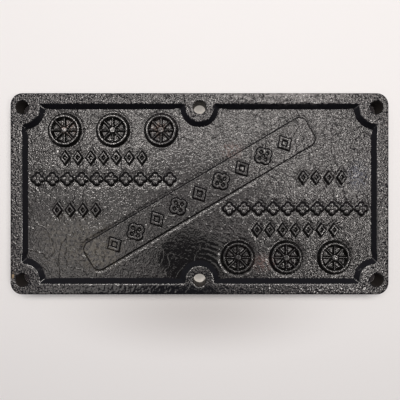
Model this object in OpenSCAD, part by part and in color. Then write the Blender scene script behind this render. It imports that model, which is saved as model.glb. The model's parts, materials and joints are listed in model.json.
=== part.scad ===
// Cast-iron plate for the side of a locomotive, lying on its back, front face up.
// Origin: centre of the back face. +X runs along the plate, +Y up its front, +Z out of the front.
// It is one iron casting, drawn here as the pieces that its foundry pattern is built from.
// All sizes are in millimetres.

/* [Plate] */
// Length of the plate at its back face
plate_w = 305; // [285:1:340]
// Height of the plate at its back face
plate_h = 163; // [155:1:180]
// Whole thickness, from the back face to the top of the rim
plate_t = 16; // [12:0.5:20]
// Radius of the four outside corners
corner_r = 10; // [7:0.5:12]
// Foundry draft of the outside walls, in degrees
draft = 1.5; // [0.5:0.5:3]
// Rounding of the rim's outer top edge
edge_round = 1.2; // [0.6:0.1:2]

/* [Rim] */
// Width of the flat top of the rim
rim_w = 9; // [7:0.5:12]
// Depth of the field below the top of the rim
recess_depth = 3.6; // [2.5:0.1:5]
// Width of the rim's sloping inner wall, seen from the front
wall_run = 3.8; // [2.5:0.1:5]

/* [Screw holes] */
// Diameter of the six through holes
hole_d = 10.3; // [8:0.1:12]
// Distance from the plate's end to the centre of a corner hole
hole_inset_x = 10; // [9:0.5:14]
// Distance from the plate's long edge to the centre of a hole
hole_inset_y = 12; // [10:0.5:15]
// Rounding of a hole's front mouth
mouth_round = 0.8; // [0.3:0.1:1.2]
// Top radius of the scalloped pad round a corner hole
corner_pad_r = 13; // [11:0.5:16]
// Top radius of the scalloped pad round a middle hole
middle_pad_r = 11; // [9:0.5:14]
// Width of a pad's sloping wall, seen from the front
pad_run = 5; // [3:0.5:6]

/* [Diagonal band] */
// Width of the raised band
band_w = 26; // [20:1:30]
// Rise of the band above the field
band_rise = 0.8; // [0.5:0.1:1.5]
// Slope of the band, in degrees
band_angle = 30.7; // [26:0.1:33]
// Radius of the band's corners
band_corner_r = 6.7; // [4:0.1:9]
// Clear field between a corner of the band and the foot of the rim
band_end_clear = 4; // [2:0.5:10]

/* [Ornament on the band] */
// Distance between neighbouring motifs along the band
band_pitch = 20; // [18:0.5:26]
// Height of a band motif, across the band
band_motif_h = 16; // [12:0.5:17]
// Width of a band lozenge, along the band
band_motif_w = 14; // [10:0.5:15]
// Line width of the band's motifs
band_stroke = 2.8; // [2:0.1:3.4]
// Radius of a lobe of a band quatrefoil
band_lobe_r = 4.5; // [4:0.1:5]
// Radius of the opening in the middle of a band quatrefoil
band_eye_r = 2.5; // [2.2:0.1:3]
// Rise of the band's motifs above the band
band_motif_rise = 1.3; // [0.8:0.1:2]
// Clear band beyond the last motif
band_margin = 16; // [10:1:22]

/* [Spoked wheels] */
// Outside diameter of a wheel at its foot
wheel_d = 27.6; // [22:0.2:29]
// Rise of a wheel's tyre above the field
wheel_rise = 3; // [2:0.1:3.5]
// Width of the tyre at its foot
tyre_base = 5; // [4:0.1:6]
// Width of the tyre at its crest
tyre_crest = 1.4; // [0.6:0.1:2.5]
// Number of spokes
spoke_count = 8; // [6:1:10]
// Rise of the spokes above the field
spoke_rise = 2.2; // [1.5:0.1:2.6]
// Width of a spoke at its foot
spoke_base = 2.8; // [2:0.1:3.2]
// Width of a spoke at its crest
spoke_crest = 0.8; // [0.4:0.1:1.5]
// Diameter of the hub at its foot
hub_d = 9; // [7:0.5:10]
// Diameter of the hub at its top
hub_top_d = 5.4; // [4:0.1:6.5]
// Distance between the feet of neighbouring wheels
wheel_gap = 11.4; // [6:0.2:16]
// Wheels in a row
wheel_count = 3; // [1:1:3]

/* [Small ornament] */
// Height of a small lozenge
lozenge_h = 13; // [10:0.5:14]
// Width of a small lozenge
lozenge_w = 9.4; // [8:0.2:11]
// Line width of a small lozenge at its foot
lozenge_base = 2.6; // [2:0.1:3]
// Line width of a small lozenge at its crest
lozenge_crest = 0.8; // [0.4:0.1:1.4]
// Rise of a small lozenge above the field
lozenge_rise = 1.9; // [1.2:0.1:2.4]
// Radius of one leaf of a quatrefoil at its foot
leaf_r = 2.9; // [2.2:0.1:3.2]
// Distance from a quatrefoil's centre to its leaves
leaf_reach = 2.8; // [2.3:0.1:3.2]
// Rise of a quatrefoil's leaves above the field
leaf_rise = 1.8; // [1.2:0.1:2.1]
// Foot radius of the bead in the middle of a quatrefoil
eye_r = 1.8; // [1.4:0.1:2]
// Foot radius of the bead in the middle of a lozenge
bead_r = 1.3; // [0.9:0.1:1.5]
// Rise of the bead in a lozenge
bead_rise = 1.1; // [0.6:0.1:1.3]
// Top of a bead as a share of its foot
bead_taper = 0.5; // [0.3:0.05:0.8]
// Gap between the feet of neighbouring small motifs
motif_gap = 1; // [0.6:0.1:2]

/* [Layout] */
// Clear field between the rim's foot and the top row
top_margin = 3.4; // [2:0.1:5]
// Clear field between the rim's foot and the end of a row
side_margin = 2.4; // [1:0.1:5]
// Clear field between a row's corner and the band
band_clear = 1.6; // [1:0.1:4]
// Gap between the wheels and the row below them
wheel_row_gap = 2; // [1:0.1:3]
// Gap between the lozenge row and the quatrefoil row
small_row_gap = 5; // [3:0.1:6]
// Gap between the quatrefoil row and the short row
short_row_gap = 13; // [10:0.5:15]
// Lozenges in the row under the wheels
lozenge_count = 7; // [1:1:8]
// Quatrefoils in the long row
quatrefoil_count = 10; // [1:1:11]
// Lozenges in the short row
short_count = 4; // [1:1:5]

/* [Hidden] */
$fn = 72;
enamel = "#26241f";
worn_enamel = "#3b3833";

// Overshoot of a cutter past the face that it leaves through
over = 1;

// Flats that make up the rolled outer edge
edge_steps = 6;

// Heights of the field and of the band's face above the back
field_z = plate_t - recess_depth;
band_z = field_z + band_rise;

// Half sizes of the recess at its top edge and at its foot
recess_x = plate_w / 2 - rim_w;
recess_y = plate_h / 2 - rim_w;
field_x = recess_x - wall_run;
field_y = recess_y - wall_run;

// Centres of the screw holes
hole_x = plate_w / 2 - hole_inset_x;
hole_y = plate_h / 2 - hole_inset_y;
corner_holes = [for (x = [-hole_x, hole_x], y = [-hole_y, hole_y]) [x, y]];
middle_holes = [for (y = [-hole_y, hole_y]) [0, y]];
corner_pad_foot = corner_pad_r + pad_run;
middle_pad_foot = middle_pad_r + pad_run;

// The band runs until its corners are band_end_clear away from the foot of the rim
band_reach_y = (field_y - band_end_clear - band_w / 2 * cos(band_angle)) / sin(band_angle);
band_reach_x = (field_x - band_end_clear - band_w / 2 * sin(band_angle)) / cos(band_angle);
band_len = 2 * min(band_reach_x, band_reach_y);
band_half_y = band_w / 2 / cos(band_angle);

// Motifs on each side of the band's middle one
band_side = floor((band_len / 2 - band_margin - band_motif_w / 2) / band_pitch);

// How many of n motifs of width w, set apart by gap, fit in a row of a given half length
function fitting(n, w, gap, half) = max(1, min(n, floor((2 * half + gap) / (w + gap))));

// Where a row with its lower edge at y has to stop, short of the band's upper edge
function band_stop(y) = (y - band_half_y) / tan(band_angle) - band_clear / sin(band_angle);

// Rows of the upper ornament, from the top down
wheel_r = wheel_d / 2;
quatrefoil_d = 2 * (leaf_reach + leaf_r);
wheel_y = field_y - top_margin - wheel_r;
lozenge_y = wheel_y - wheel_r - wheel_row_gap - lozenge_h / 2;
quatrefoil_y = lozenge_y - lozenge_h / 2 - small_row_gap - quatrefoil_d / 2;
short_y = quatrefoil_y - quatrefoil_d / 2 - short_row_gap - lozenge_h / 2;

// The quatrefoil row fills its line, and the others are centred on it as far as they have room
row_start = -field_x + side_margin;
long_stop = band_stop(quatrefoil_y - quatrefoil_d / 2);
block_x = (row_start + long_stop) / 2;
long_half = (long_stop - row_start) / 2;
lozenge_half = min(block_x - row_start, band_stop(lozenge_y - lozenge_h / 2) - block_x);
short_stop = band_stop(short_y - lozenge_h / 2);
short_x = (row_start + short_stop) / 2;
short_half = (short_stop - row_start) / 2;

// The wheels stand between the foot of the corner pad and the foot of the middle pad
function beside(foot) =
    sqrt(max(0, pow(foot + top_margin + wheel_r, 2) - pow(hole_y - wheel_y, 2)));
wheel_start = max(row_start + wheel_r, beside(corner_pad_foot) - hole_x);
wheel_stop = -beside(middle_pad_foot);
wheel_x = (wheel_start + wheel_stop) / 2;
wheel_half = (wheel_stop - wheel_start) / 2 + wheel_r;

// Section of the outside wall, corner_r deep: drafted side, and an edge that rolls over to the top
module wall_section() {
    round_z = plate_t - edge_round;
    round_x = corner_r - round_z * tan(draft) - edge_round / cos(draft);
    polygon(concat(
        [[0, plate_t], [0, 0], [corner_r, 0]],
        [for (i = [0 : edge_steps]) let (a = draft + i * (90 - draft) / edge_steps)
            [round_x + edge_round * cos(a), round_z + edge_round * sin(a)]]
    ));
}

// The whole outside of the casting: a core, four straight walls and four quarter-round corners
module outside() {
    flat_x = plate_w / 2 - corner_r;
    flat_y = plate_h / 2 - corner_r;
    translate([-flat_x, -flat_y, 0]) cube([2 * flat_x, 2 * flat_y, plate_t]);
    for (side = [0, 1]) {
        mirror([side, 0, 0]) translate([flat_x, 0, 0]) rotate([90, 0, 0]) {
            linear_extrude(2 * flat_y, center = true) wall_section();
        }
        mirror([0, side, 0]) translate([0, flat_y, 0]) rotate([90, 0, 90]) {
            linear_extrude(2 * flat_x, center = true) wall_section();
        }
        for (end = [0, 1]) mirror([side, 0, 0]) mirror([0, end, 0]) {
            translate([flat_x, flat_y, 0]) rotate_extrude(angle = 90) wall_section();
        }
    }
}

// Slab between two heights, wider than the plate
module between(low, high) {
    translate([-plate_w, -plate_h, low]) cube([2 * plate_w, 2 * plate_h, high - low]);
}

// Flared section of one side-to-side cut of the recess
module recess_section(half) {
    slope = wall_run / recess_depth;
    polygon([
        [-half, 0],
        [half, 0],
        [half + (recess_depth + over) * slope, recess_depth + over],
        [-half - (recess_depth + over) * slope, recess_depth + over]
    ]);
}

// The recess: a flared tray that goes round the scalloped pads
module recess() {
    difference() {
        translate([0, 0, field_z]) intersection() {
            rotate([90, 0, 90]) linear_extrude(plate_w, center = true) recess_section(field_y);
            rotate([90, 0, 0]) linear_extrude(plate_h, center = true) recess_section(field_x);
        }
        for (hole = corner_holes) {
            pad(hole, corner_pad_r);
        }
        for (hole = middle_holes) {
            pad(hole, middle_pad_r);
        }
    }
}

module pad(hole, top_r) {
    translate([hole.x, hole.y, field_z]) {
        cylinder(r1 = top_r + pad_run, r2 = top_r, h = recess_depth);
    }
}

// One through hole with a rolled front mouth
module screw_hole(hole) {
    translate([hole.x, hole.y, 0]) {
        translate([0, 0, -over]) cylinder(d = hole_d, h = plate_t + 2 * over);
        rotate_extrude() difference() {
            translate([0, plate_t - mouth_round]) {
                square([hole_d / 2 + mouth_round, mouth_round + over]);
            }
            translate([hole_d / 2 + mouth_round, plate_t - mouth_round]) circle(r = mouth_round);
        }
    }
}

module screw_holes() {
    for (hole = corner_holes) {
        screw_hole(hole);
    }
    for (hole = middle_holes) {
        screw_hole(hole);
    }
}

// Flat-backed slab that carries everything else
module backing_plate() {
    color(enamel) difference() {
        intersection() {
            outside();
            between(-over, field_z);
        }
        screw_holes();
    }
}

// Raised rim with its sloping inner wall and the six scalloped screw pads
module rim() {
    color(worn_enamel) difference() {
        intersection() {
            outside();
            between(field_z, plate_t + over);
        }
        recess();
        screw_holes();
    }
}

module rounded_rectangle(w, h, r) {
    square([w - 2 * r, h], center = true);
    square([w, h - 2 * r], center = true);
    for (x = [r - w / 2, w / 2 - r], y = [r - h / 2, h / 2 - r]) {
        translate([x, y]) circle(r = r);
    }
}

// Low raised panel that crosses the field from lower left to upper right
module diagonal_band() {
    color(worn_enamel) translate([0, 0, field_z]) rotate(band_angle) linear_extrude(band_rise) {
        rounded_rectangle(band_len, band_w, band_corner_r);
    }
}

module lozenge_outline(w, h) {
    polygon([[w / 2, 0], [0, h / 2], [-w / 2, 0], [0, -h / 2]]);
}

// Flat-topped lozenge rings on the band, at every second place
module band_lozenges() {
    inner = 1 - 2 * band_stroke * norm([band_motif_w, band_motif_h]) / (band_motif_w * band_motif_h);
    color(enamel) translate([0, 0, band_z]) rotate(band_angle) {
        for (i = [-band_side : band_side]) if (abs(i) % 2 == 0) {
            translate([i * band_pitch, 0, 0]) linear_extrude(band_motif_rise) difference() {
                lozenge_outline(band_motif_w, band_motif_h);
                lozenge_outline(band_motif_w * inner, band_motif_h * inner);
            }
        }
    }
}

// Four round lobes about the middle
module lobes(reach, r) {
    for (a = [0 : 90 : 270]) rotate(a) translate([reach, 0]) circle(r = r);
}

// Flat-topped Gothic quatrefoil rings on the band, at the places between the lozenges
module band_quatrefoils() {
    reach = band_motif_h / 2 - band_lobe_r;
    color(enamel) translate([0, 0, band_z]) rotate(band_angle) {
        for (i = [-band_side : band_side]) if (abs(i) % 2 == 1) {
            translate([i * band_pitch, 0, 0]) linear_extrude(band_motif_rise) difference() {
                lobes(reach, band_lobe_r);
                lobes(reach, band_lobe_r - band_stroke);
                circle(r = band_eye_r);
            }
        }
    }
}

// Section of a raised line with a narrow crest
module ridge_section(base, crest, rise) {
    polygon([[-base / 2, 0], [base / 2, 0], [crest / 2, rise], [-crest / 2, rise]]);
}

// Locomotive driving wheel seen from the front: ridged tyre, ridged spokes and a tapered hub
module spoked_wheel() {
    tyre_r = (wheel_d - tyre_base) / 2;
    rotate_extrude() translate([tyre_r, 0]) ridge_section(tyre_base, tyre_crest, wheel_rise);
    cylinder(d1 = hub_d, d2 = hub_top_d, h = wheel_rise);
    for (i = [0 : spoke_count - 1]) rotate(i * 360 / spoke_count) rotate([90, 0, 90]) {
        linear_extrude(tyre_r) ridge_section(spoke_base, spoke_crest, spoke_rise);
    }
}

// Rhombic block whose four sides lean in by inset as it rises, or out where inset is below zero
module rhombic_block(side, turn, inset, rise) {
    intersection() {
        leaning_slab(side, turn, inset, rise);
        leaning_slab(side, -turn, inset, rise);
    }
}

module leaning_slab(side, turn, inset, rise) {
    rotate(turn) rotate([90, 0, 0]) linear_extrude(4 * lozenge_h, center = true) {
        polygon([[-side, 0], [side, 0], [side - inset, rise], [inset - side, rise]]);
    }
}

// Spherical cap with foot radius r
module dome(r, rise) {
    ball_r = (r * r + rise * rise) / (2 * rise);
    intersection() {
        translate([0, 0, rise - ball_r]) sphere(r = ball_r);
        translate([-r, -r, 0]) cube([2 * r, 2 * r, rise]);
    }
}

// Raised lozenge line round a bead
module small_lozenge() {
    flank = (lozenge_base - lozenge_crest) / 2;
    side = lozenge_w * lozenge_h / 2 / norm([lozenge_w, lozenge_h]);
    turn = atan2(lozenge_w, lozenge_h);
    lean = flank / lozenge_rise;
    difference() {
        rhombic_block(side, turn, flank, lozenge_rise);
        translate([0, 0, -over]) {
            rhombic_block(side - lozenge_base - over * lean, turn,
                -(lozenge_rise + 2 * over) * lean, lozenge_rise + 2 * over);
        }
    }
    cylinder(r1 = bead_r, r2 = bead_r * bead_taper, h = bead_rise);
}

// Four domed leaves round a bead
module small_quatrefoil() {
    for (a = [0 : 90 : 270]) rotate(a) translate([leaf_reach, 0, 0]) dome(leaf_r, leaf_rise);
    cylinder(r1 = eye_r, r2 = eye_r * bead_taper, h = leaf_rise);
}

// Row of as many of n lozenges as fit in its half length, centred on x at height y
module lozenge_row(n, half, x, y) {
    pitch = lozenge_w + motif_gap;
    last = fitting(n, lozenge_w, motif_gap, half) - 1;
    for (i = [0 : last]) translate([x + (i - last / 2) * pitch, y, field_z]) small_lozenge();
}

module quatrefoil_row() {
    pitch = quatrefoil_d + motif_gap / 2;
    last = fitting(quatrefoil_count, quatrefoil_d, motif_gap / 2, long_half) - 1;
    for (i = [0 : last]) {
        translate([block_x + (i - last / 2) * pitch, quatrefoil_y, field_z]) small_quatrefoil();
    }
}

module wheel_row() {
    pitch = wheel_d + wheel_gap;
    last = fitting(wheel_count, wheel_d, wheel_gap, wheel_half) - 1;
    for (i = [0 : last]) translate([wheel_x + (i - last / 2) * pitch, wheel_y, field_z]) spoked_wheel();
}

// The ornament upper left, and the same turned half round for lower right
module upper_wheels() {
    color(enamel) wheel_row();
}

module lower_wheels() {
    color(enamel) rotate(180) wheel_row();
}

module upper_lozenge_row() {
    color(enamel) lozenge_row(lozenge_count, lozenge_half, block_x, lozenge_y);
}

module lower_lozenge_row() {
    color(enamel) rotate(180) lozenge_row(lozenge_count, lozenge_half, block_x, lozenge_y);
}

module upper_quatrefoil_row() {
    color(enamel) quatrefoil_row();
}

module lower_quatrefoil_row() {
    color(enamel) rotate(180) quatrefoil_row();
}

module upper_short_row() {
    color(enamel) lozenge_row(short_count, short_half, short_x, short_y);
}

module lower_short_row() {
    color(enamel) rotate(180) lozenge_row(short_count, short_half, short_x, short_y);
}

backing_plate();
rim();
diagonal_band();
band_lozenges();
band_quatrefoils();
upper_wheels();
lower_wheels();
upper_lozenge_row();
lower_lozenge_row();
upper_quatrefoil_row();
lower_quatrefoil_row();
upper_short_row();
lower_short_row();
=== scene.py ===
# %% [markdown]
# # A cast-iron locomotive plate in gloss black enamel
# The object is one iron casting, 305 mm long, thickly painted in gloss black. It lies on its back on pale
# paper and is seen from straight above. The CAD frame holds its pieces at their real size. This notebook
# gives each piece the soft, lumpy skin of a sand casting under paint, then the paint, the light and the
# camera. Lengths are in metres, in the same frame as the CAD: +X along the plate, +Y up it, +Z out of it.

# %% Load the frame
import json
import math

import bmesh
import bpy
from mathutils import Matrix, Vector
from mathutils.kdtree import KDTree


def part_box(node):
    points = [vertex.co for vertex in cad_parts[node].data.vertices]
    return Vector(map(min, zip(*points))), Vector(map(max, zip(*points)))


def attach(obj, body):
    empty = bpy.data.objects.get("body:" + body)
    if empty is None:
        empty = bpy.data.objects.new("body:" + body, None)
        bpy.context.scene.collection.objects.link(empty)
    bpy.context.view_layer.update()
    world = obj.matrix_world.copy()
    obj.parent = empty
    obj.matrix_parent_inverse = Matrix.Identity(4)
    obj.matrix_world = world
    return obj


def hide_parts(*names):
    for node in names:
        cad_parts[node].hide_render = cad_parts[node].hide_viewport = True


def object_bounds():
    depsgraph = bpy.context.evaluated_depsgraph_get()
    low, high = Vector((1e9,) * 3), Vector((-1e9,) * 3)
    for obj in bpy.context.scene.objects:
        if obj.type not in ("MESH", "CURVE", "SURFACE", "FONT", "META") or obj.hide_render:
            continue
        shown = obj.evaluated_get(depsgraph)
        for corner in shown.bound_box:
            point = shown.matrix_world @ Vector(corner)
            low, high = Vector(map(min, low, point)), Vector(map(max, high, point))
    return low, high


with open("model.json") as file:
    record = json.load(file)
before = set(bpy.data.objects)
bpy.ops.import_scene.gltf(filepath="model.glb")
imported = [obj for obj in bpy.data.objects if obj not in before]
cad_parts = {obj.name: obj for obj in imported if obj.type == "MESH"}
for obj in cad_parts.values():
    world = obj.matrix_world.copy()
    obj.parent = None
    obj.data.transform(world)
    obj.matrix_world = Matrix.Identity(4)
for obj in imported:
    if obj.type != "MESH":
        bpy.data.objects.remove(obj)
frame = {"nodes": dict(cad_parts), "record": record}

cad_low, cad_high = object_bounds()
mm = 0.001
print("CAD box in mm:", [round(side / mm, 1) for side in cad_high - cad_low])

# %% [markdown]
# ## Heights and places that come from the frame
# A casting has only a few levels: the back, the field, the face of the diagonal band and the top of the
# rim. Typing them again would let them drift from the CAD, so they are read from the boxes of its nodes.

# %% Levels and sizes
field_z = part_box("rim")[0].z
band_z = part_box("band_lozenges")[0].z
top_z = cad_high.z
plate_x = cad_high.x
plate_y = cad_high.y
print("field, band and rim heights in mm:", [round(z / mm, 2) for z in (field_z, band_z, top_z)])

# %% [markdown]
# ## Modelling helpers
# Blender's operators act on whatever is selected, and the imported CAD nodes arrive selected. So each step
# first takes one object and clears all else. Faces and edges are then picked by their place and direction,
# which is what a modeller does by eye.

# %% Take an object, pick its faces and edges
level_enough = 0.9


def take(obj):
    """Makes obj the one selected and active object, in object mode."""
    if bpy.context.object and bpy.context.object.mode != "OBJECT":
        bpy.ops.object.mode_set(mode="OBJECT")
    bpy.ops.object.select_all(action="DESELECT")
    obj.select_set(True)
    bpy.context.view_layer.objects.active = obj


def edit(obj):
    """Opens obj in edit mode with nothing selected."""
    take(obj)
    bpy.ops.object.mode_set(mode="EDIT")
    bpy.ops.mesh.select_mode(type="FACE")
    bpy.ops.mesh.select_all(action="DESELECT")


def pick(obj, test):
    """Selects just the faces whose centre and normal pass the test, in edit mode."""
    bpy.ops.mesh.select_all(action="DESELECT")
    for face in bmesh.from_edit_mesh(obj.data).faces:
        if test(face.calc_center_median(), face.normal):
            face.select_set(True)
    bmesh.update_edit_mesh(obj.data)


def looks_up(centre, normal):
    """A test for pick: every face that looks up."""
    return normal.z > level_enough


def upright_edges(obj, least):
    """Selects the edges that rise by at least the given height, in edit mode."""
    bpy.ops.mesh.select_mode(type="EDGE")
    bpy.ops.mesh.select_all(action="DESELECT")
    for edge in bmesh.from_edit_mesh(obj.data).edges:
        low, high = sorted(vertex.co.z for vertex in edge.verts)
        edge.select_set(high - low >= least)
    bmesh.update_edit_mesh(obj.data)


print("CAD nodes that arrive selected:", sum(part.select_get() for part in frame["nodes"].values()))

# %% [markdown]
# The second set of helpers finishes a shape. A finished piece keeps its origin at the plate's origin, as a
# CAD node does, so place, turn and size go into the mesh. Modifiers are applied at once, and a form that
# comes back round a middle point is drawn once and copied with Spin.

# %% Settle, modify, join and copy
def settle(obj):
    """Leaves edit mode and puts the object's place, turn and size into its mesh."""
    take(obj)
    bpy.ops.object.transform_apply(location=True, rotation=True, scale=True)
    return obj


def apply(obj, kind, **settings):
    """Adds one modifier, sets it and applies it."""
    take(obj)
    modifier = obj.modifiers.new(kind.title(), kind)
    for name, value in settings.items():
        setattr(modifier, name, value)
    bpy.ops.object.modifier_apply(modifier=modifier.name)


def join(first, others):
    """Joins the other objects into the first one."""
    take(first)
    for obj in others:
        obj.select_set(True)
    bpy.ops.object.join()
    return first


def spin_round(obj, count):
    """Copies the whole of obj round the plate's middle axis, so that count of it stand evenly spaced."""
    edit(obj)
    bpy.ops.mesh.select_all(action="SELECT")
    turn = 2 * math.pi * (count - 1) / count
    bpy.ops.mesh.spin(steps=count - 1, dupli=True, angle=turn, center=(0, 0, 0), axis=(0, 0, 1))
    take(obj)


def triangles(obj):
    """Counts the triangles that the object's faces come to."""
    return sum(len(polygon.vertices) - 2 for polygon in obj.data.polygons)


print("the CAD rim, still sharp:", triangles(frame["nodes"]["rim"]), "triangles")

# %% [markdown]
# ## How iron and paint soften a pattern
# A foundry pattern has crisp edges, and what comes out of the sand and the paint kettle has none: metal
# rounds the corners, and thick enamel pools at the foot of every raised form. Bevels on each edge would
# take long and would meet badly where forms cross. Instead each sharp model stands on a bit of ground, a
# voxel remesh turns the whole into one even skin, smoothing lets the edges flow, and a level cut then
# frees the form from its ground with its fillet still on it.

# %% Soften and cut free
ground_depth = 2 * mm
cut_height = 0.03 * mm
root_depth = 0.5 * mm
closeness = 0.001 * mm
smooth_share = 0.5


def soften(obj, cell, passes):
    """Welds obj into one skin with cells of the given size, and smooths it."""
    apply(obj, "REMESH", mode="VOXEL", voxel_size=cell)
    apply(obj, "SMOOTH", factor=smooth_share, iterations=passes)


def slice_level(obj, level, **side):
    """Cuts the whole of obj at the given height, drops the side that is named and closes the cut."""
    edit(obj)
    bpy.ops.mesh.select_all(action="SELECT")
    bpy.ops.mesh.bisect(
        plane_co=(0, 0, level), plane_no=(0, 0, 1), use_fill=True, threshold=closeness, **side
    )


def cut_free(obj, ground_z):
    """Cuts obj level just over the ground and sends a root down into what carries it."""
    level = ground_z + cut_height
    slice_level(obj, level, clear_inner=True)
    pick(obj, lambda centre, normal: centre.z < level + closeness and normal.z < -level_enough)
    bpy.ops.mesh.extrude_region_move(TRANSFORM_OT_translate={"value": (0, 0, -root_depth)})
    take(obj)


print("ground is", ground_depth / mm, "mm deep and roots reach", root_depth / mm, "mm down")

# %% [markdown]
# ## The sand-cast skin
# Sand, scale and brushed paint leave grain about 1.5 mm across and lumps about 6 mm across, both a few
# tenths of a millimetre high. They could be bump alone, but then the meshes would be as smooth as glass.
# Displace modifiers with two shared cloud noises in object space put them into the meshes, so they run on
# from piece to piece, and only the finest grain is left to the enamel's bump.

# %% Cloud textures for the skin
outward = 0
both_ways = 0.5
inward = 1


def clouds(name, size, depth):
    """A cloud noise with lumps of the given size and finer ones on them, depth sizes in all."""
    texture = bpy.data.textures.new(name, "CLOUDS")
    texture.noise_scale = size
    texture.noise_depth = depth
    return texture


def roughen(obj, cloud, height, way, group):
    """Pushes the group's skin along its normals by the cloud, outward, inward or both ways."""
    apply(
        obj,
        "DISPLACE",
        texture=cloud,
        texture_coords="LOCAL",
        strength=height,
        mid_level=way,
        vertex_group=group,
    )


grain_cloud = clouds("cast_grain", 1.5 * mm, 1)
lump_cloud = clouds("cast_lumps", 6 * mm, 2)
print("grain and lump size in mm:", [round(cloud.noise_scale / mm, 2) for cloud in (grain_cloud, lump_cloud)])

# %% [markdown]
# ## The slab
# The slab is the flat-backed body that carries everything. Its outside leans in by the foundry's draft,
# and six bolt holes go through it. Only the field inside the rim is ever seen from the front, so a cube is
# tapered and bevelled, the field is split off its top face and divided into cells small enough to hold the
# lumps, and the hidden rest stays plain.

# %% Model the slab
draft = math.radians(1.5)
corner_r = 10 * mm
corner_steps = 10
field_x = 140.2 * mm
field_y = 69.2 * mm
field_cuts = 94


def shown_field(centre, normal):
    """A test for pick: the part of the top face that the recess leaves open."""
    return looks_up(centre, normal) and abs(centre.x) < field_x and abs(centre.y) < field_y


def make_slab():
    bpy.ops.mesh.primitive_cube_add(
        size=1, location=(0, 0, field_z / 2), scale=(2 * plate_x, 2 * plate_y, field_z)
    )
    slab = settle(bpy.context.object)
    slab.name = "slab"
    lean = field_z * math.tan(draft)
    edit(slab)
    pick(slab, looks_up)
    bpy.ops.transform.resize(value=(1 - lean / plate_x, 1 - lean / plate_y, 1))
    upright_edges(slab, field_z / 2)
    bpy.ops.mesh.bevel(offset=corner_r, segments=corner_steps, affect="EDGES")
    bpy.ops.mesh.select_mode(type="FACE")
    columns = [((share * field_x, 0, 0), (1, 0, 0)) for share in (-1, -0.5, 0, 0.5, 1)]
    rows = [((0, share * field_y, 0), (0, 1, 0)) for share in (-1, 0, 1)]
    for place, across in columns + rows:
        pick(slab, looks_up)
        bpy.ops.mesh.bisect(plane_co=place, plane_no=across, threshold=closeness)
    pick(slab, shown_field)
    bpy.ops.mesh.subdivide(number_cuts=field_cuts)
    take(slab)
    return slab


slab = make_slab()
print("slab:", triangles(slab), "triangles")

# %% [markdown]
# The bolt holes are drilled with six cylinders in one Boolean cut, as a drill press would. Their size and
# centres come from the record's first mount, so they line up with the CAD's bores.

# %% Drill the slab
bolts = frame["record"]["mounts"][0]["dims"]
hole_r = bolts["hole_r_mm"] * mm
hole_x = bolts["spacing_x_mm"] * mm / 2
hole_y = bolts["spacing_y_mm"] * mm / 2
holes = [(x, y) for x in (-hole_x, 0, hole_x) for y in (-hole_y, hole_y)]
drill_sides = 64


def make_drills():
    drills = []
    for x, y in holes:
        bpy.ops.mesh.primitive_cylinder_add(
            vertices=drill_sides, radius=hole_r, depth=3 * field_z, location=(x, y, field_z / 2)
        )
        drills.append(settle(bpy.context.object))
    return join(drills[0], drills[1:])


drills = make_drills()
apply(slab, "BOOLEAN", operation="DIFFERENCE", object=drills, solver="EXACT")
bpy.data.objects.remove(drills)
print("drilled slab:", triangles(slab), "triangles")

# %% [markdown]
# ## The rim
# The rim is the raised frame with its sloping inner wall and six scalloped pads for the bolts. Its CAD
# shape is right and only its edges are too sharp, so it is not modelled again: a copy of the CAD mesh is
# welded, its underside is carried on below the field and it goes through the softening. The straight runs
# of the real wall are a little wider than the CAD's, so their brink then moves out and their foot moves in,
# in proportion to the depth, while the pads stay. The level cut comes last.

# %% Copy, soften and widen the rim
rim_cell = 0.62 * mm
rim_passes = 2
brink_shift = (0, 0.5 * mm)
foot_shift = (-1.2 * mm, -0.9 * mm)
pad_fade = (19 * mm, 23 * mm)
edge_fade = (2 * mm, 6 * mm)


def copy_of(cad_name, name):
    """Copies a CAD node's mesh into a new object and welds its loose triangles."""
    obj = bpy.data.objects.new(name, frame["nodes"][cad_name].data.copy())
    bpy.context.scene.collection.objects.link(obj)
    obj.data.materials.clear()
    apply(obj, "WELD", merge_threshold=closeness)
    return obj


def blend_in(value, start, end):
    """Goes smoothly from 0 at start to 1 at end."""
    share = min(max((value - start) / (end - start), 0), 1)
    return share * share * (3 - 2 * share)


def hole_gap(co):
    """How far a point lies from the axis of the nearest bolt hole."""
    return min(math.hypot(co.x - x, co.y - y) for x, y in holes)


def widen_wall(rim):
    """Moves the recess wall's brink outward and its foot inward, clear of the pads and the outer edge."""
    for vertex in rim.data.vertices:
        x, y, z = vertex.co
        edge_gap = min(plate_x - abs(x), plate_y - abs(y))
        share = blend_in(hole_gap(vertex.co), *pad_fade) * blend_in(edge_gap, *edge_fade)
        depth = (top_z - z) / (top_z - field_z)
        vertex.co.x *= 1 + share * ((1 - depth) * brink_shift[0] + depth * foot_shift[0]) / plate_x
        vertex.co.y *= 1 + share * ((1 - depth) * brink_shift[1] + depth * foot_shift[1]) / plate_y


def make_rim():
    rim = copy_of("rim", "cast_rim")
    edit(rim)
    pick(rim, lambda centre, normal: normal.z < -level_enough and centre.z < field_z + closeness)
    bpy.ops.mesh.extrude_region_move(TRANSFORM_OT_translate={"value": (0, 0, -ground_depth)})
    soften(rim, rim_cell, rim_passes)
    widen_wall(rim)
    cut_free(rim, field_z)
    return rim


rim = make_rim()
print("rim:", triangles(rim), "triangles")

# %% [markdown]
# ## The diagonal band
# The band is a low raised panel, 0.8 mm high, with round corners. A cube's upright edges are bevelled, one
# inset lifts its top and gives it a sloping edge, and the bar is turned to its slope. It stands on ground
# like the rest, so that its step melts into the field.

# %% Model the band
band_turn = math.radians(30.7)
band_half_length = 104.75 * mm
band_half_width = 13 * mm
band_corner_r = 6.7 * mm
band_corner_steps = 12
band_flank = 0.8 * mm
band_margin = 2 * mm
band_cell = 0.4 * mm
band_passes = 1


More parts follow.
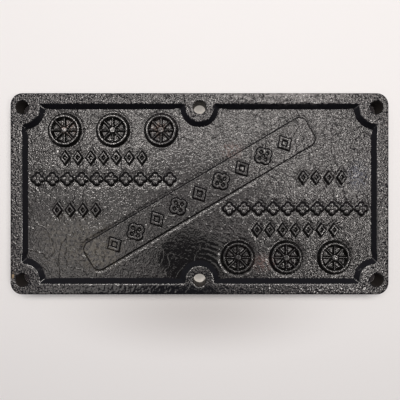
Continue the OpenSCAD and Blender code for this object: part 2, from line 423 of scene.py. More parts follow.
def add_bar(margin):
    """Adds a bar of ground as long and wide as the band and a margin all round, its top at the field."""
    bpy.ops.mesh.primitive_cube_add(
        size=1,
        location=(0, 0, field_z - ground_depth / 2),
        scale=(2 * (band_half_length + margin), 2 * (band_half_width + margin), ground_depth),
    )
    return settle(bpy.context.object)


def make_band():
    band = add_bar(0)
    band.name = "raised_band"
    edit(band)
    upright_edges(band, ground_depth / 2)
    bpy.ops.mesh.bevel(offset=band_corner_r, segments=band_corner_steps, affect="EDGES")
    bpy.ops.mesh.select_mode(type="FACE")
    pick(band, looks_up)
    bpy.ops.mesh.inset(thickness=band_flank, depth=band_z - field_z)
    take(band)
    join(band, [add_bar(band_margin)])
    band.matrix_world = Matrix.Rotation(band_turn, 4, "Z")
    settle(band)
    soften(band, band_cell, band_passes)
    cut_free(band, field_z)
    return band


band = make_band()
print("band:", triangles(band), "triangles")

# %% [markdown]
# ## Relief by insets
# Each raised motif is a ridge: a flank up, a narrow crest, a flank down. Starting from a flat disc of
# ground, one inset per step draws the whole section: an inset with a depth makes a flank, and one without
# makes a flat. The same few lines give the tyre and hub of a wheel from a round disc and a lozenge from a
# four-sided one.

# %% Ground disc and stepped insets
ground_margin = 1.6 * mm
ornament_cell = 0.34 * mm


def ground_disc(name, sides, size_x, size_y, level):
    """Adds a disc of ground with its top at the given level and its top face selected in edit mode."""
    bpy.ops.mesh.primitive_cylinder_add(
        vertices=sides,
        radius=1,
        depth=1,
        location=(0, 0, level - ground_depth / 2),
        scale=(size_x / 2, size_y / 2, ground_depth),
    )
    disc = settle(bpy.context.object)
    disc.name = name
    edit(disc)
    pick(disc, looks_up)
    return disc


def step_in(width, rise=0.0):
    """Insets the selected face by the width and lifts what is inside by the rise."""
    bpy.ops.mesh.inset(thickness=width, depth=rise)


print("ground reaches", ground_margin / mm, "mm past each foot")

# %% [markdown]
# ## The spoked wheels
# Three driving wheels in each block stand where the plate has its largest raised forms. The tyre and hub
# are insets in a round disc. The spokes are one bar with a narrowed top that Spin copies round the hub.
# They overlap inside the tyre and hub, and the voxel remesh welds them.

# %% Model one wheel
wheel_low, wheel_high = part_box("upper_wheels")
wheel_d = wheel_high.y - wheel_low.y
wheel_rise = 3 * mm
wheel_sides = 96
wheel_passes = 3
tyre_flank = 1.8 * mm
tyre_crest = 1.4 * mm
hub_d = 9 * mm
hub_flank = 2.3 * mm
spoke_count = 8
spoke_rise = 2.2 * mm
spoke_width = 2.8 * mm
spoke_crest_share = 0.3


def make_spokes():
    """A bar with a narrowed top from the hub's middle to the tyre's crest, copied round the hub."""
    reach = wheel_d / 2 - tyre_flank - tyre_crest / 2
    height = spoke_rise + ground_depth / 2
    bpy.ops.mesh.primitive_cube_add(
        size=1,
        location=(reach / 2, 0, field_z + spoke_rise - height / 2),
        scale=(reach, spoke_width, height),
    )
    spokes = settle(bpy.context.object)
    edit(spokes)
    pick(spokes, looks_up)
    bpy.ops.transform.resize(value=(1, spoke_crest_share, 1))
    spin_round(spokes, spoke_count)
    return spokes


def make_wheel():
    across = wheel_d + 2 * ground_margin
    wheel = ground_disc("wheel", wheel_sides, across, across, field_z)
    step_in(ground_margin)
    step_in(tyre_flank, wheel_rise)
    step_in(tyre_crest)
    step_in(tyre_flank, -wheel_rise)
    step_in(wheel_d / 2 - 2 * tyre_flank - tyre_crest - hub_d / 2)
    step_in(hub_flank, wheel_rise)
    take(wheel)
    join(wheel, [make_spokes()])
    soften(wheel, ornament_cell, wheel_passes)
    cut_free(wheel, field_z)
    return wheel


wheel = make_wheel()
print("wheel:", triangles(wheel), "triangles")

# %% [markdown]
# ## The lozenges
# The rows of seven and of four are lozenges, an old foundry ornament, and every second motif on the band is
# a larger one with a flat top. Both are a ridge round a dimple, drawn by insets in a four-sided disc. The
# disc is scaled up so that its slanting sides stand off the ridge by the same margin all round.

# %% Model both lozenges
row_low, row_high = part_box("upper_lozenge_row")
lozenge_w = 9.4 * mm
lozenge_h = row_high.y - row_low.y
lozenge_rise = row_high.z - field_z
lozenge_flank = 1.1 * mm
lozenge_crest = 1.2 * mm
lozenge_passes = 2
motif_w = 14 * mm
motif_h = 16 * mm
motif_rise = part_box("band_lozenges")[1].z - band_z
motif_flank = 1.0 * mm
motif_crest = 1.7 * mm
motif_passes = 1


def make_lozenge(name, width, height, level, flank, crest, rise, passes):
    grow = 1 + 2 * ground_margin * math.hypot(width, height) / (width * height)
    lozenge = ground_disc(name, 4, grow * width, grow * height, level)
    step_in(ground_margin)
    step_in(flank, rise)
    step_in(crest)
    step_in(flank, -rise)
    soften(lozenge, ornament_cell, passes)
    cut_free(lozenge, level)
    return lozenge


lozenge = make_lozenge(
    "lozenge", lozenge_w, lozenge_h, field_z, lozenge_flank, lozenge_crest, lozenge_rise, lozenge_passes
)
lozenge_ring = make_lozenge(
    "lozenge_ring", motif_w, motif_h, band_z, motif_flank, motif_crest, motif_rise, motif_passes
)
print("lozenges:", triangles(lozenge), triangles(lozenge_ring), "triangles")

# %% [markdown]
# ## The small quatrefoil
# The rows of ten are quatrefoils. Each is a flattened ball that Spin copies into four leaves round a bead,
# all half sunk in a disc of ground, and the voxel remesh welds them into one form.

# %% Model the small quatrefoil
foil_low, foil_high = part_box("upper_quatrefoil_row")
leaf_count = 4
leaf_r = 2.9 * mm
leaf_reach = (foil_high.y - foil_low.y) / 2 - leaf_r
leaf_rise = foil_high.z - field_z
middle_r = 1.8 * mm
bead_rings = 12
foil_d = 2 * (leaf_reach + leaf_r)
foil_sides = 48
foil_passes = 2


def add_bead(radius, x):
    """Adds a flattened ball at x that stands out of the field as high as the leaves do."""
    bpy.ops.mesh.primitive_uv_sphere_add(
        segments=2 * bead_rings,
        ring_count=bead_rings,
        radius=1,
        location=(x, 0, field_z),
        scale=(radius, radius, leaf_rise),
    )
    return settle(bpy.context.object)


def make_quatrefoil():
    across = foil_d + 2 * ground_margin
    foil = ground_disc("quatrefoil", foil_sides, across, across, field_z)
    take(foil)
    leaves = add_bead(leaf_r, leaf_reach)
    spin_round(leaves, leaf_count)
    join(foil, [leaves, add_bead(middle_r, 0)])
    soften(foil, ornament_cell, foil_passes)
    cut_free(foil, field_z)
    return foil


quatrefoil = make_quatrefoil()
print("quatrefoil:", triangles(quatrefoil), "triangles")

# %% [markdown]
# ## The quatrefoil on the band
# The other motifs on the band are Gothic quatrefoils with flat tops. Four cones that narrow upward are
# welded into one skin. Smaller cones that flare upward are taken out of it in a Boolean cut, which leaves a
# ring with a flank on both sides, and a level cut gives it its flat top.

# %% Model the quatrefoil ring
lobe_r = 4.5 * mm
lobe_reach = motif_h / 2 - lobe_r
eye_r = 0.7 * mm


def flared(radius, flare, x):
    """An upright cone at x that rises from the band's face and widens by the flare at the motif's top."""
    bpy.ops.mesh.primitive_cone_add(
        vertices=foil_sides,
        radius1=radius,
        radius2=radius + 2 * flare,
        depth=2 * motif_rise,
        location=(x, 0, band_z + motif_rise),
    )
    return settle(bpy.context.object)


def four_round(lobe):
    """Copies the lobe a quarter turn apart and welds the four into one skin."""
    spin_round(lobe, leaf_count)
    apply(lobe, "REMESH", mode="VOXEL", voxel_size=ornament_cell / 2)
    return lobe


def make_quatrefoil_ring():
    ring = four_round(flared(lobe_r, -motif_flank, lobe_reach))
    inner_r = lobe_r - 2 * motif_flank - motif_crest
    dimple = join(flared(inner_r, motif_flank, lobe_reach), [flared(eye_r, motif_flank, 0)])
    openings = four_round(dimple)
    apply(ring, "BOOLEAN", operation="DIFFERENCE", object=openings, solver="EXACT")
    bpy.data.objects.remove(openings)
    slice_level(ring, band_z + motif_rise, clear_outer=True)
    take(ring)
    across = motif_h + 2 * ground_margin
    ring = join(ground_disc("quatrefoil_ring", foil_sides, across, across, band_z), [ring])
    soften(ring, ornament_cell, motif_passes)
    cut_free(ring, band_z)
    return ring


quatrefoil_ring = make_quatrefoil_ring()
print("quatrefoil ring:", triangles(quatrefoil_ring), "triangles")

# %% [markdown]
# ## Setting the copies in their rows
# Each motif was modelled once, at the middle of the plate. Copies with meshes of their own go to the places
# that the CAD rows have, read from the box of each row, and are joined into one piece per row. The lower
# rows are the upper ones turned half round.

# %% Fill a row with copies
def row_places(row, width, count, turn):
    """The count places, evenly spaced, that fill a row's box with motifs of the given width."""
    low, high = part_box(row)
    pitch = (high.x - low.x - width) / (count - 1)
    return [(low.x + width / 2 + i * pitch, (low.y + high.y) / 2, turn) for i in range(count)]


def place_copies(model, row, places):
    """Sets a copy of the model at each place, given as x, y and a turn, and joins them into one piece."""
    copies = []
    for x, y, turn in places:
        copy = model.copy()
        copy.data = model.data.copy()
        bpy.context.scene.collection.objects.link(copy)
        copy.matrix_world = Matrix.Translation((x, y, 0)) @ Matrix.Rotation(turn, 4, "Z")
        copies.append(settle(copy))
    piece = join(copies[0], copies[1:])
    piece.name = "cast_" + row
    return piece


first_x, first_y, _ = row_places("upper_wheels", wheel_d, 3, 0)[0]
print("the first upper wheel stands at x, y in mm:", round(first_x / mm, 1), round(first_y / mm, 1))

# %% Copy the motifs to their places
half_turn = math.pi
band_pitch = 20 * mm
band_side = 4
rows = {
    "upper_wheels": (wheel, wheel_d, 3, 0),
    "lower_wheels": (wheel, wheel_d, 3, half_turn),
    "upper_lozenge_row": (lozenge, lozenge_w, 7, 0),
    "lower_lozenge_row": (lozenge, lozenge_w, 7, half_turn),
    "upper_quatrefoil_row": (quatrefoil, foil_d, 10, 0),
    "lower_quatrefoil_row": (quatrefoil, foil_d, 10, half_turn),
    "upper_short_row": (lozenge, lozenge_w, 4, 0),
    "lower_short_row": (lozenge, lozenge_w, 4, half_turn),
}
ornament = {
    row: place_copies(model, row, row_places(row, width, count, turn))
    for row, (model, width, count, turn) in rows.items()
}
band_places = [
    (i * band_pitch * math.cos(band_turn), i * band_pitch * math.sin(band_turn), band_turn)
    for i in range(-band_side, band_side + 1)
]
ornament["band_lozenges"] = place_copies(lozenge_ring, "band_lozenges", band_places[::2])
ornament["band_quatrefoils"] = place_copies(quatrefoil_ring, "band_quatrefoils", band_places[1::2])
for model in (wheel, lozenge, quatrefoil, lozenge_ring, quatrefoil_ring):
    bpy.data.objects.remove(model)
for row, piece in ornament.items():
    print(row, triangles(piece), "triangles")

# %% [markdown]
# ## Give every piece its cast skin
# The lumps belong to the open faces. On the slab and the band they fade out at the foot of every raised
# form, where the field sinks a little instead: sand packs less well in such corners and paint draws back
# from them, and that is what draws a dark line round each form. A search tree of all foot points gives the
# distance.

# %% Find the feet of the raised forms
moat = 1.5 * mm


def foot_points(pieces, level):
    """The points where the pieces leave the given level."""
    return [
        vertex.co.copy()
        for piece in pieces
        for vertex in piece.data.vertices
        if abs(vertex.co.z - level - cut_height) < closeness
    ]


def near(points, reach):
    """A weight that is 1 at the points and falls evenly to 0 at reach from them."""
    tree = KDTree(len(points))
    for i, point in enumerate(points):
        tree.insert(point, i)
    tree.balance()
    return lambda co: max(1 - tree.find(co)[2] / reach, 0)


on_field = [piece for row, piece in ornament.items() if not row.startswith("band")]
on_band = [piece for row, piece in ornament.items() if row.startswith("band")]
field_feet = foot_points([band] + on_field, field_z)
band_feet = foot_points(on_band, band_z)
near_field_feet = near(field_feet, moat)
near_band_feet = near(band_feet, moat)
print("foot points on the field and on the band:", len(field_feet), len(band_feet))

# %% [markdown]
# The paint isn't even. It lies thick and calm over all but the upper right, the iron is rough at the lower
# left, and above the lower middle pad the paint sagged in ripples while it dried. Each such place is an
# ellipse, given by its centre, width and height, and a weight that fades at its edge.

# %% Weights on the field
pad_inner_r = 12 * mm
pad_outer_r = 15 * mm
calm = (-50 * mm, -30 * mm, 340 * mm, 170 * mm)
calm_soft = 0.5
calm_share = 0.45
rough = (-80 * mm, -42 * mm, 70 * mm, 52 * mm)
rough_soft = 0.6
rough_elsewhere = 0.3
sag = (22 * mm, -50 * mm, 50 * mm, 44 * mm)
sag_soft = 0.7


def inside(co, x, y, across, tall, soft):
    """1 in the middle of an ellipse on the plate, fading to 0 at its edge over the soft share of it."""
    return blend_in(math.hypot((co.x - x) / across, (co.y - y) / tall) * 2, 1, 1 - soft)


def grain_left(co):
    """1 where the grain is coarse, down to the calm share where thick paint has filled it."""
    return 1 - (1 - calm_share) * inside(co, *calm, calm_soft)


def open_field(co):
    """1 on the field that shows, 0 under the rim, its pads and the plate's other faces."""
    if co.z < field_z - closeness:
        return 0
    shown = blend_in(field_x + mm - abs(co.x), 0, mm) * blend_in(field_y + mm - abs(co.y), 0, mm)
    return shown * blend_in(hole_gap(co), pad_inner_r, pad_outer_r)


def around_feet(co):
    """1 on the field at the feet of raised forms, clear of the rim."""
    return open_field(co) * near_field_feet(co)


def grainy_field(co):
    """1 on open field where the grain is coarse."""
    return open_field(co) * (1 - near_field_feet(co)) * grain_left(co)


def rough_field(co):
    """1 in the rough place at the lower left, a little everywhere else on open field."""
    lumpy = rough_elsewhere + (1 - rough_elsewhere) * inside(co, *rough, rough_soft)
    return open_field(co) * (1 - near_field_feet(co)) * lumpy


def sagged_field(co):
    """1 where thick paint sagged in ripples above the lower middle pad."""
    return open_field(co) * (1 - near_field_feet(co)) * inside(co, *sag, sag_soft)


print("moats are", moat / mm, "mm wide, and calm paint leaves", calm_share, "of the grain")

# %% Roughen the field
moat_depth = 0.18 * mm
lump_height = 0.5 * mm
grain_height = 0.4 * mm


def weigh(obj, amount):
    """Makes a vertex group whose weight at each vertex is a function of its place."""
    group = obj.vertex_groups.new(name="share")
    for vertex in obj.data.vertices:
        weight = amount(vertex.co)
        if weight > 0:
            group.add([vertex.index], min(weight, 1), "REPLACE")
    return group.name


moat_group = weigh(slab, around_feet)
apply(slab, "DISPLACE", strength=-moat_depth, mid_level=outward, direction="Z", vertex_group=moat_group)
roughen(slab, lump_cloud, lump_height, outward, weigh(slab, rough_field))
roughen(slab, grain_cloud, grain_height, outward, weigh(slab, grainy_field))
print("the field's highest lump in mm:", round(max(vertex.co.z for vertex in slab.data.vertices) / mm, 2))

# %% [markdown]
# The ripples are the rings of a wood texture round the lower middle bolt hole. An empty holds the texture
# there for one Displace, and its size sets the distance between the rings.

# %% Let the paint sag
sag_wave = 4 * mm
sag_height = 0.2 * mm
sag_noise_size = 2
sag_waver = 4
rings_per_unit = 20 / (2 * math.pi)


def add_ripples():
    rings = bpy.data.textures.new("sag_rings", "WOOD")
    rings.wood_type = "RINGNOISE"
    rings.noise_scale = sag_noise_size
    rings.turbulence = sag_waver
    bpy.ops.object.empty_add(location=(0, -hole_y, field_z))
    middle = bpy.context.object
    middle.scale = [sag_wave * rings_per_unit] * 3
    apply(
        slab,
        "DISPLACE",
        texture=rings,
        texture_coords="OBJECT",
        texture_coords_object=middle,
        strength=sag_height,
        mid_level=outward,
        vertex_group=weigh(slab, sagged_field),
    )
    bpy.data.objects.remove(middle)


add_ripples()
print("ripples are", sag_wave / mm, "mm apart")

# %% [markdown]
# The rim is only pushed in, so that the plate stays within its real size, and hardly at all on its walls.
# The forms keep their feet and get a little grain above.

# %% Roughen the rim, the band and the forms
wall_share = 0.15
brink_fade = 0.7 * mm
band_foot_rise = 0.6 * mm
band_lump_height = 0.12 * mm
band_grain_height = 0.3 * mm
form_grain_height = 0.14 * mm
motif_grain_height = 0.06 * mm


def flat_top(co):
    """1 on the rim's top face and a little on its walls, 0 at its foot."""
    on_top = blend_in(co.z, top_z - brink_fade, top_z)
    return wall_share * blend_in(co.z, field_z, field_z + mm) + (1 - wall_share) * on_top


def band_face(co):
    """1 on the band's own face, 0 at its foot and at the feet of its motifs."""
    return blend_in(co.z, field_z + band_foot_rise, band_z) * (1 - near_band_feet(co)) * grain_left(co)


def over_foot(ground_z):
    """A weight that grows from 0 at the foot of a form to 1 a millimetre above its ground."""
    return lambda co: blend_in(co.z, ground_z + cut_height, ground_z + mm)


roughen(rim, grain_cloud, grain_height, inward, weigh(rim, flat_top))
band_group = weigh(band, band_face)
roughen(band, lump_cloud, band_lump_height, outward, band_group)
roughen(band, grain_cloud, band_grain_height, outward, band_group)
for piece in on_field:
    roughen(piece, grain_cloud, form_grain_height, both_ways, weigh(piece, over_foot(field_z)))
for piece in on_band:
    roughen(piece, grain_cloud, motif_grain_height, both_ways, weigh(piece, over_foot(band_z)))
print("the rim's highest point in mm:", round(max(vertex.co.z for vertex in rim.data.vertices) / mm, 2))

# %% [markdown]
# ## Materials
# One small function adds a node with its settings and links. Colours are written as sRGB hex values, as a
# colour picker shows them, and turned to the linear values that the shader works in. Settings that several
# nodes share have names of their own.

# %% Node and colour helpers
multiply = {"operation": "MULTIPLY"}
multiply_add = {"operation": "MULTIPLY_ADD"}
colour_mix = {"data_type": "RGBA"}
smooth_step = {"interpolation_type": "SMOOTHSTEP"}


def linear(code):
    """Turns a hex sRGB colour into linear red, green, blue and alpha."""
    parts = [int(code[i : i + 2], 16) / 255 for i in (1, 3, 5)]
    return [c / 12.92 if c <= 0.04045 else ((c + 0.055) / 1.055) ** 2.4 for c in parts] + [1]


def out_of(made):
    """The first output that a node's settings leave in use."""
    return next(output for output in made.outputs if output.enabled)


def node(tree, kind, settings=None, **sockets):
    """Adds a node with its settings. A socket, named or numbered as in _0, gets a value or a link."""
    made = tree.nodes.new("ShaderNode" + kind)
    for name, value in (settings or {}).items():
        setattr(made, name, value)
    for name, value in sockets.items():
        socket = made.inputs[int(name[1:]) if name[1:].isdigit() else name.replace("_", " ")]
        if isinstance(value, bpy.types.Node):
            value = out_of(value)
        if isinstance(value, bpy.types.NodeSocket):
            tree.links.new(value, socket)
        else:
            socket.default_value = value
    return made


def new_material(name):
    """A material with nothing but a Principled shader on its output."""
    material = bpy.data.materials.new(name)
    material.use_nodes = True
    tree = material.node_tree
    tree.nodes.clear()
    shader = node(tree, "BsdfPrincipled")
    node(tree, "OutputMaterial", Surface=shader)
    return material, tree, shader


print("black in linear:", [round(c, 4) for c in linear("#161514")])

# %% [markdown]
# ## Masks that place a finish on the plate
# Old paint isn't the same all over: it is puddled here, worn there, dusty or rusty in other places. Each
# such place is an ellipse, which a Mapping node centres and sizes on the object's own coordinates. The same
# ellipses also place painted sheen on the plate and a painted shadow on the paper. A noise with waves 9 mm
# long makes its edge ragged, because no stain has a smooth outline. Paint that skins over before it is dry
# also draws long wrinkles, which are the contour lines of a wide noise.

# %% Patches and wrinkles
edge_wave = 9 * mm
wrinkle_wave = 32 * mm
wrinkle_spacing = 0.06
wrinkle_width = 0.012


def patch(tree, place, x, y, across, tall, soft, ragged, peak=1.0):
    """A mask that is peak inside an ellipse on the plate and fades out over its soft, ragged edge."""
    size = (across / 2, tall / 2, 1)
    local = node(tree, "Mapping", {"vector_type": "TEXTURE"}, Vector=place, Location=(x, y, 0), Scale=size)
    radius = node(tree, "VectorMath", {"operation": "LENGTH"}, _0=local)
    waves = node(tree, "TexNoise", Vector=place, Scale=1 / edge_wave, Detail=3.0)
    torn = node(tree, "Math", multiply_add, _0=waves, _1=ragged, _2=radius)
    brink = 1 + ragged / 2
    return node(tree, "MapRange", smooth_step, Value=torn, From_Min=brink, From_Max=brink - soft, To_Max=peak)


def wrinkles(tree, place):
    """Thin lines along the contours of a wide noise, 1 on a line and 0 off it."""
    hills = node(tree, "TexNoise", Vector=place, Scale=1 / wrinkle_wave, Detail=2.5)
    contour = node(tree, "Math", {"operation": "PINGPONG"}, _0=hills, _1=wrinkle_spacing)
    return node(tree, "MapRange", Value=contour, From_Max=wrinkle_width, To_Min=1.0, To_Max=0.0)


print("edges waver every", edge_wave / mm, "mm, wrinkles every", wrinkle_wave / mm, "mm or so")

# %% [markdown]
# ## Stains, dust and painted sheen
# Brown, rusty and dusty places lie on the paint in flecks about 2.5 mm across. Two more are painted sheen:
# a bluish tint on the right of the field and a light grey along the upper right of the rim. Dust settles
# only on faces that look up, so all of them are multiplied by how far the surface rises, and the steep wall
# of the recess stays black.

# %% Stains
fleck_size = 2.5 * mm
fleck_start = 0.42
fleck_full = 0.58
dust_and_sheen_start = 0.78
dust_and_sheen_full = 0.9
spot_soft = 0.8
spot_ragged = 0.6
stains_and_sheens = [
    # x, y, across, tall, strength and colour of each
    (27 * mm, 35 * mm, 26 * mm, 20 * mm, 0.8, "#58433e"),
    (51 * mm, -56 * mm, 28 * mm, 20 * mm, 0.8, "#58433e"),
    (-106 * mm, 53 * mm, 18 * mm, 18 * mm, 0.6, "#86736a"),
    (-33 * mm, 53 * mm, 18 * mm, 18 * mm, 0.6, "#86736a"),
    (-80 * mm, -50 * mm, 50 * mm, 36 * mm, 0.5, "#5c574c"),
    # Painted sheen: a bluish tint on the right of the field, for a cool reflection.
    (128 * mm, 15 * mm, 24 * mm, 34 * mm, 0.8, "#2a3144"),
    (-100 * mm, -38 * mm, 96 * mm, 66 * mm, 0.5, "#5a564d"),
    # Painted sheen: a light grey along the upper right of the rim, for its brighter glints.
    (76 * mm, 82 * mm, 170 * mm, 26 * mm, 0.9, "#8a8786"),
    (-149.8 * mm, -65.3 * mm, 3 * mm, 7 * mm, 1.0, "#a59072"),
]


def stained_and_sheened(tree, place, rise, colour):
    """Lays the stains and the painted sheens over a colour, in flecks on the faces that look up."""
    noise = node(tree, "TexNoise", Vector=place, Scale=1 / fleck_size, Detail=3.0)
    flecks = node(tree, "MapRange", Value=noise, From_Min=fleck_start, From_Max=fleck_full)
    upward = node(tree, "MapRange", Value=rise, From_Min=dust_and_sheen_start, From_Max=dust_and_sheen_full)
    broken = node(tree, "Math", multiply, _0=flecks, _1=upward)
    for x, y, across, tall, strength, tint in stains_and_sheens:
        spot = patch(tree, place, x, y, across, tall, spot_soft, spot_ragged, strength)
        mask = node(tree, "Math", multiply, _0=broken, _1=spot)
        colour = node(tree, "Mix", colour_mix, _0=mask, _6=colour, _7=linear(tint))
    return colour


print("stains and dusty places:", len(stains_and_sheens))

# %% [markdown]
# ## Gloss black enamel on cast iron
# Alkyd gloss enamel is a clear resin full of carbon black: it is truly black, and the grey that one sees
# on it is mostly the room mirrored in its skin. Its IOR is about 1.55. Its roughness is 0.09, and 0.06 where
# it has puddled, which gives the sharp glints that sand-cast iron has under gloss. The grit of the sand, a
# few tenths of a millimetre, would be too fine to show at 0.8 mm a pixel, so the bump's grain is drawn 1 to
# 1.2 mm across. The tops of the grain are painted a light grey, partly as scuffing and partly as a painted
# highlight for their glints. No brush reaches the walls of the bolt holes, so they are bare iron, dark and
# without shine.

# %% Enamel
enamel_ior = 1.55
enamel_gloss = 0.09
puddle_gloss = 0.06
bare_rough = 0.6
bare_iron = "#37322f"
# A light grey on the tops of the grain: partly scuffing of the enamel, partly a painted highlight for their
# glints.
scuff_and_glint = "#6a6766"
scuff_and_glint_start = 0.5
scuff_and_glint_full = 0.68
level_start = 0.9
level_full = 0.97
steep_bump = 0.1
puddle_bump = 0.4
wrinkle_height = 0.6
puddle_soft = 0.45
puddle_ragged = 0.8
calm_ragged = 0.3


def enamel(name, black, grain_size, bump_height, scuff_and_glint_share, quiet, quiet_share, puddle):
    """Black gloss with grain and scuffs whose light grey is also a painted highlight for the glints, quieter
    inside one ellipse and nearly smooth in the puddle.
    """
    material, tree, shader = new_material(name)
    coordinates = node(tree, "TexCoord")
    place = coordinates.outputs["Object"]
    rise = node(tree, "SeparateXYZ", Vector=coordinates.outputs["Normal"]).outputs["Z"]
    level = node(tree, "MapRange", Value=rise, From_Min=level_start, From_Max=level_full)
    wet = patch(tree, place, *puddle, puddle_soft, puddle_ragged)
    calmed = patch(tree, place, *quiet, calm_soft, calm_ragged)
    coarse = node(tree, "MapRange", Value=calmed, To_Min=1.0, To_Max=quiet_share)

    grain = node(tree, "TexNoise", Vector=place, Scale=1 / grain_size, Detail=0.0)
    lined = node(tree, "Math", multiply_add, _0=wrinkles(tree, place), _1=wrinkle_height, _2=grain)
    level_strength = node(tree, "MapRange", Value=level, To_Min=steep_bump, To_Max=1.0)
    wet_strength = node(tree, "MapRange", Value=wet, To_Min=1.0, To_Max=puddle_bump)
    steady = node(tree, "Math", multiply, _0=level_strength, _1=wet_strength)
    strength = node(tree, "Math", multiply, _0=steady, _1=coarse)
    bump = node(tree, "Bump", Strength=strength, Distance=bump_height, Height=lined)

    # Painted highlight and scuffing: the grain's tops on level, dry faces turn light grey.
    crest = node(tree, "MapRange", Value=grain, From_Min=scuff_and_glint_start, From_Max=scuff_and_glint_full, To_Max=scuff_and_glint_share)
    dry = node(tree, "MapRange", Value=wet, To_Min=1.0, To_Max=0.0)
    dry_level = node(tree, "Math", multiply, _0=dry, _1=level)
    open_face = node(tree, "Math", multiply, _0=dry_level, _1=coarse)
    wear_and_glint = node(tree, "Math", multiply, _0=crest, _1=open_face)
    painted = node(tree, "Mix", colour_mix, _0=wear_and_glint, _6=linear(black), _7=linear(scuff_and_glint))
    bare = node(tree, "Attribute", {"attribute_name": "bore"}).outputs["Fac"]
    colour = node(
        tree, "Mix", colour_mix, _0=bare, _6=stained_and_sheened(tree, place, rise, painted), _7=linear(bare_iron)
    )

    gloss = node(tree, "MapRange", Value=wet, To_Min=enamel_gloss, To_Max=puddle_gloss)
    roughness = node(tree, "Math", multiply_add, _0=bare, _1=bare_rough, _2=gloss)
    shader.inputs["IOR"].default_value = enamel_ior
    tree.links.new(out_of(colour), shader.inputs["Base Color"])
    tree.links.new(out_of(roughness), shader.inputs["Roughness"])
    tree.links.new(out_of(bump), shader.inputs["Normal"])
    return material


print("gloss mirrors about", round(100 * ((enamel_ior - 1) / (enamel_ior + 1)) ** 2, 1), "% of the room")

# %% [markdown]
# The field, the rim and the forms wear the same paint with a different grain. It has run together over the
# lower middle pad and along the lower edge of the rim.

# %% Three enamels
deep_black = "#0e0d0c"
# The rim's black is a touch bluish: a painted cool tint of what its gloss mirrors.
rim_black = "#0e0e11"
puddle = (-7 * mm, -53 * mm, 72 * mm, 56 * mm)
drip = (-42 * mm, -78 * mm, 150 * mm, 16 * mm)
lower_rim = (0, -60 * mm, 420 * mm, 260 * mm)
inner = {"grain_size": 1.0 * mm, "scuff_and_glint_share": 0.6, "quiet": calm, "puddle": puddle}
field_enamel = enamel("gloss_enamel_field", deep_black, bump_height=0.3 * mm, quiet_share=0.65, **inner)
# The rim's grain tops get more of the painted highlight than the field's.
rim_enamel = enamel(
    "gloss_enamel_rim",
    rim_black,
    grain_size=1.2 * mm,
    bump_height=0.5 * mm,
    scuff_and_glint_share=1.4,
    quiet=lower_rim,
    quiet_share=0.45,
    puddle=drip,
)
ornament_enamel = enamel("gloss_enamel_ornament", deep_black, bump_height=0.1 * mm, quiet_share=0.8, **inner)
print("nodes in each enamel:", len(field_enamel.node_tree.nodes))

# %% [markdown]
# ## Dress the pieces
# Each piece rides on the plate's one body and stands for its CAD node. The walls of the bolt holes are
# marked in a face attribute, by which the enamel knows them.

# %% Assign materials, ride, replace
smooth_angle = math.radians(40)
bore_margin = 0.5 * mm
wall_steepness = 0.5


def mark_bores(piece):
    """Marks the walls of the bolt holes, which the brush never reached, in an attribute for the enamel."""
    bore = piece.data.attributes.new("bore", "FLOAT", "FACE")
    for face in piece.data.polygons:
        steep = abs(face.normal.z) < wall_steepness
        bore.data[face.index].value = float(steep and hole_gap(face.center) < hole_r + bore_margin)


def dress(piece, cad_name, material):
    piece.data.materials.clear()
    piece.data.materials.append(material)
    take(piece)
    bpy.ops.object.shade_smooth_by_angle(angle=smooth_angle)
    piece.vertex_groups.clear()
    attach(piece, "root")
    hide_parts(cad_name)


mark_bores(slab)
mark_bores(rim)
dress(slab, "backing_plate", field_enamel)
dress(rim, "rim", rim_enamel)
dress(band, "diagonal_band", field_enamel)
for cad_name, piece in ornament.items():
    dress(piece, cad_name, ornament_enamel)

# %% [markdown]
# ## The ground
# The plate lies on plain pale paper whose colour holds painted shade: a little darker towards the foot of
# the picture, and a painted soft shadow in a wide patch below the plate. A thin disc lies in each bolt
# hole for the ground seen through it, and glows a little: a dark one at the corners, a painted shade, and a
# pale one in the middle, a painted light.

# %% Paper floor
floor_r = 3.0
floor_sides = 64
matt = 0.9
# Painted shade: the paper's colour darkens towards the foot of the picture.
painted_shade_near_paper = "#eaeaea"
far_paper = "#f5f5f5"
near_y = -0.25
far_y = 0.1
# Painted shadow: a wide soft darker patch on the paper below the plate.
painted_shadow_paper = "#bcb9b7"
painted_shadow_place = (0, -100 * mm, 280 * mm, 90 * mm)
painted_shadow_strength = 0.62


def make_floor():
    bpy.ops.mesh.primitive_circle_add(vertices=floor_sides, radius=floor_r, fill_type="NGON")
    floor = settle(bpy.context.object)
    floor.name = "paper_floor"
    material, tree, shader = new_material("white_paper_floor")
    place = node(tree, "TexCoord").outputs["Object"]
    along = node(tree, "SeparateXYZ", Vector=place).outputs["Y"]
    share = node(tree, "MapRange", smooth_step, Value=along, From_Min=near_y, From_Max=far_y)
    paper = node(tree, "Mix", colour_mix, _0=share, _6=linear(painted_shade_near_paper), _7=linear(far_paper))
    painted_shadow = patch(tree, place, *painted_shadow_place, soft=1.0, ragged=0.0, peak=painted_shadow_strength)
    colour = node(tree, "Mix", colour_mix, _0=painted_shadow, _6=paper, _7=linear(painted_shadow_paper))
    tree.links.new(out_of(colour), shader.inputs["Base Color"])
    shader.inputs["Roughness"].default_value = matt
    floor.data.materials.append(material)
    return floor


floor = make_floor()
print("floor is", round(floor.dimensions.x, 1), "m across")

# %% Ground in the bolt holes
disc_share = 0.98
disc_sides = 32
disc_z = 0.1 * mm


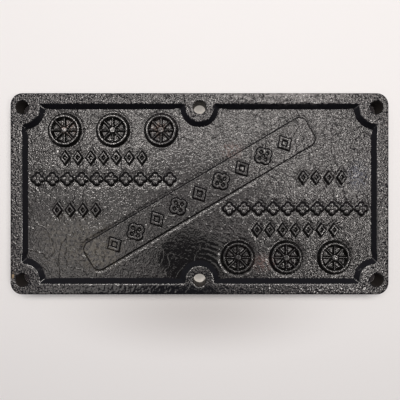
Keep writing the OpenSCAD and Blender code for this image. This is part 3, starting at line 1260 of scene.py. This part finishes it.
def make_dots(name, places, colour, glow):
    """Lays a thin glowing disc inside the bolt hole at each place, whose colour and glow paint the shade and
    light of the ground seen through it.
    """
    dots = []
    for x, y in places:
        bpy.ops.mesh.primitive_circle_add(
            vertices=disc_sides, radius=disc_share * hole_r, fill_type="NGON", location=(x, y, disc_z)
        )
        dots.append(settle(bpy.context.object))
    dots = join(dots[0], dots[1:])
    dots.name = name
    material, _, shader = new_material(name)
    shader.inputs["Base Color"].default_value = linear(colour)
    shader.inputs["Roughness"].default_value = matt
    shader.inputs["Emission Color"].default_value = linear(colour)
    shader.inputs["Emission Strength"].default_value = glow
    dots.data.materials.append(material)
    return dots


# Painted shade: dark, faintly glowing discs in the corner holes.
painted_shade_dots = make_dots("painted_shade_ground", [(x, y) for x, y in holes if x], "#2b2728", glow=0.8)
# Painted light: pale glowing discs in the middle holes.
painted_light_dots = make_dots("painted_light_paper", [(x, y) for x, y in holes if not x], "#e6e0d8", glow=0.3)
print("ground in the holes:", triangles(painted_shade_dots), "dark and", triangles(painted_light_dots), "pale triangles")

# %% [markdown]
# ## The light
# On black gloss the light is the picture: what is level mirrors what hangs over it, and what is steep
# mirrors the far walls. A dim ceiling in four parts, with a dark gap in it, makes the soft greys of the
# field and the rim. Four small bright panels make the glints on the grain. The room round them is dim, and
# dimmest towards the foot of the picture.

# %% Lamps and room
lamp_white = "#fff9f4"
room_white = "#ebe8f6"
ceiling_height = 1.2
ceilings = {
    # x, y, width, depth and radiance of each
    "ceiling_back": (0, 0.115, 1.56, 0.49, 1.15),
    "ceiling_far": (0, 0.54, 1.56, 0.36, 2.4),
    "ceiling_left": (-0.52, -0.31, 0.52, 0.36, 1.85),
    "ceiling_right": (0.495, -0.31, 0.57, 0.36, 1.0),
}
panel_height = 1.15
panel_side = 0.2
panel_radiance = 18
panel_places = [(-0.4, 0.3), (0.5, 0.34), (0.0, 0.5), (0.66, -0.2)]
room_fade = {"From_Min": -0.9, "From_Max": 0.3, "To_Min": 0.04, "To_Max": 0.2}


def add_lamp(name, x, y, height, width, depth, radiance):
    """Adds an area lamp that looks straight down, as bright as the given radiance."""
    lamp = bpy.data.lights.new(name, "AREA")
    lamp.color = linear(lamp_white)[:3]
    lamp.shape = "RECTANGLE"
    lamp.size = width
    lamp.size_y = depth
    lamp.energy = radiance * math.pi * width * depth
    obj = bpy.data.objects.new(name, lamp)
    obj.location = (x, y, height)
    bpy.context.scene.collection.objects.link(obj)


def make_room():
    """Makes the dim world, which brightens from the foot of the picture to its head."""
    world = bpy.data.worlds.new("dim_room")
    bpy.context.scene.world = world
    world.use_nodes = True
    tree = world.node_tree
    facing = node(tree, "SeparateXYZ", Vector=node(tree, "TexCoord").outputs["Generated"])
    glow = node(tree, "MapRange", Value=facing.outputs["Y"], **room_fade)
    background = tree.nodes["Background"]
    background.inputs["Color"].default_value = linear(room_white)
    tree.links.new(out_of(glow), background.inputs["Strength"])


for name, (x, y, width, depth, radiance) in ceilings.items():
    add_lamp(name, x, y, ceiling_height, width, depth, radiance)
for i, (x, y) in enumerate(panel_places):
    add_lamp(f"panel_{i}", x, y, panel_height, panel_side, panel_side, panel_radiance)
make_room()

# %% [markdown]
# ## The camera
# The camera looks straight down from 300 mm above the rim, which is near enough to show a little of the
# walls of the outer holes. The shift sets the plate a few pixels above the middle of the picture.

# %% Camera
photo_px = 400
plate_px_x = 199.5
plate_px_y = 193.8
camera_rise = 300 * mm
view_width = 320.8 * mm
sensor_mm = 36


def make_camera():
    camera = bpy.data.cameras.new("photo_camera")
    camera.sensor_width = sensor_mm
    camera.lens = sensor_mm * camera_rise / view_width
    camera.shift_x = (photo_px / 2 - plate_px_x) / photo_px
    camera.shift_y = (plate_px_y - photo_px / 2) / photo_px
    camera.clip_start = 10 * mm
    obj = bpy.data.objects.new("photo_camera", camera)
    obj.location = (0, 0, top_z + camera_rise)
    bpy.context.scene.collection.objects.link(obj)
    bpy.context.scene.camera = obj
    return obj


camera = make_camera()
bpy.context.scene.view_settings.view_transform = "Standard"
print("lens", round(camera.data.lens, 2), "mm")
